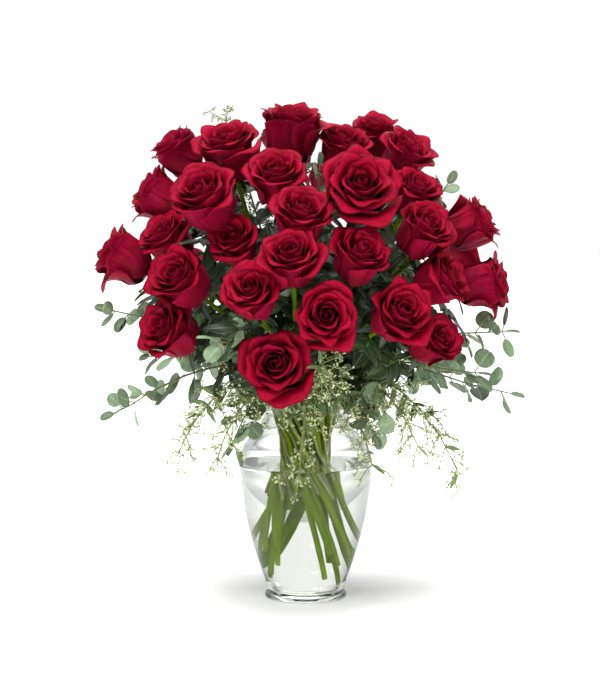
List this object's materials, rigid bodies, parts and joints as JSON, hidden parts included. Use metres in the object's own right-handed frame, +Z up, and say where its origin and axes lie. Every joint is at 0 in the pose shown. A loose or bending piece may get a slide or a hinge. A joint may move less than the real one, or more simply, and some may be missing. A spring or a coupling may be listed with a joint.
{
  "type": "roses in a vase",
  "caption": "Domed bouquet of red roses with round-leaved and seeded eucalyptus, its stems crossing in water in a clear glass vase.",
  "frame": {"origin": "centre of the vase's flat foot, on the surface it stands on", "axes": "+Z up along the vase's axis, -Y towards the front of the bouquet, +X to its right as seen from the front"},
  "size_m": [0.485, 0.4251, 0.5837],
  "materials": {
    "clear_glass": "clear, polished",
    "water": "clear, still",
    "rose_petal": "deep red velvety petals",
    "foliage": "matt grey-green leaves and green stems",
    "seeded_foliage": "matt yellow-green seed sprays and narrow leaves"
  },
  "bodies": {
    "root": {"rose_01": "rose_petal", "rose_02": "rose_petal", "rose_03": "rose_petal", "rose_04": "rose_petal", "rose_05": "rose_petal", "rose_06": "rose_petal", "rose_07": "rose_petal", "rose_08": "rose_petal", "rose_09": "rose_petal", "rose_10": "rose_petal", "rose_11": "rose_petal", "rose_12": "rose_petal", "rose_13": "rose_petal", "rose_14": "rose_petal", "rose_15": "rose_petal", "rose_16": "rose_petal", "rose_17": "rose_petal", "rose_18": "rose_petal", "rose_19": "rose_petal", "rose_20": "rose_petal", "rose_21": "rose_petal", "rose_22": "rose_petal", "rose_23": "rose_petal", "rose_24": "rose_petal", "rose_25": "rose_petal", "rose_26": "rose_petal", "rose_27": "rose_petal", "rose_28": "rose_petal", "rose_29": "rose_petal", "rose_30": "rose_petal", "rose_31": "rose_petal", "rose_32": "rose_petal", "rose_33": "rose_petal", "rose_34": "rose_petal", "rose_35": "rose_petal", "rose_36": "rose_petal", "seeded_sprig_01": "seeded_foliage", "seeded_sprig_02": "seeded_foliage", "seeded_sprig_03": "seeded_foliage", "seeded_sprig_04": "seeded_foliage", "seeded_sprig_05": "seeded_foliage", "seeded_sprig_06": "seeded_foliage", "seeded_sprig_07": "seeded_foliage", "seeded_sprig_08": "seeded_foliage", "seeded_sprig_09": "seeded_foliage", "seeded_sprig_10": "seeded_foliage", "silver_dollar_sprig_01": "foliage", "silver_dollar_sprig_02": "foliage", "silver_dollar_sprig_03": "foliage", "silver_dollar_sprig_04": "foliage", "silver_dollar_sprig_05": "foliage", "silver_dollar_sprig_06": "foliage", "silver_dollar_sprig_07": "foliage", "silver_dollar_sprig_08": "foliage", "silver_dollar_sprig_09": "foliage", "silver_dollar_sprig_10": "foliage", "silver_dollar_sprig_11": "foliage", "silver_dollar_sprig_12": "foliage", "vase": "clear_glass", "water": "water"}
  },
  "joints": []
}
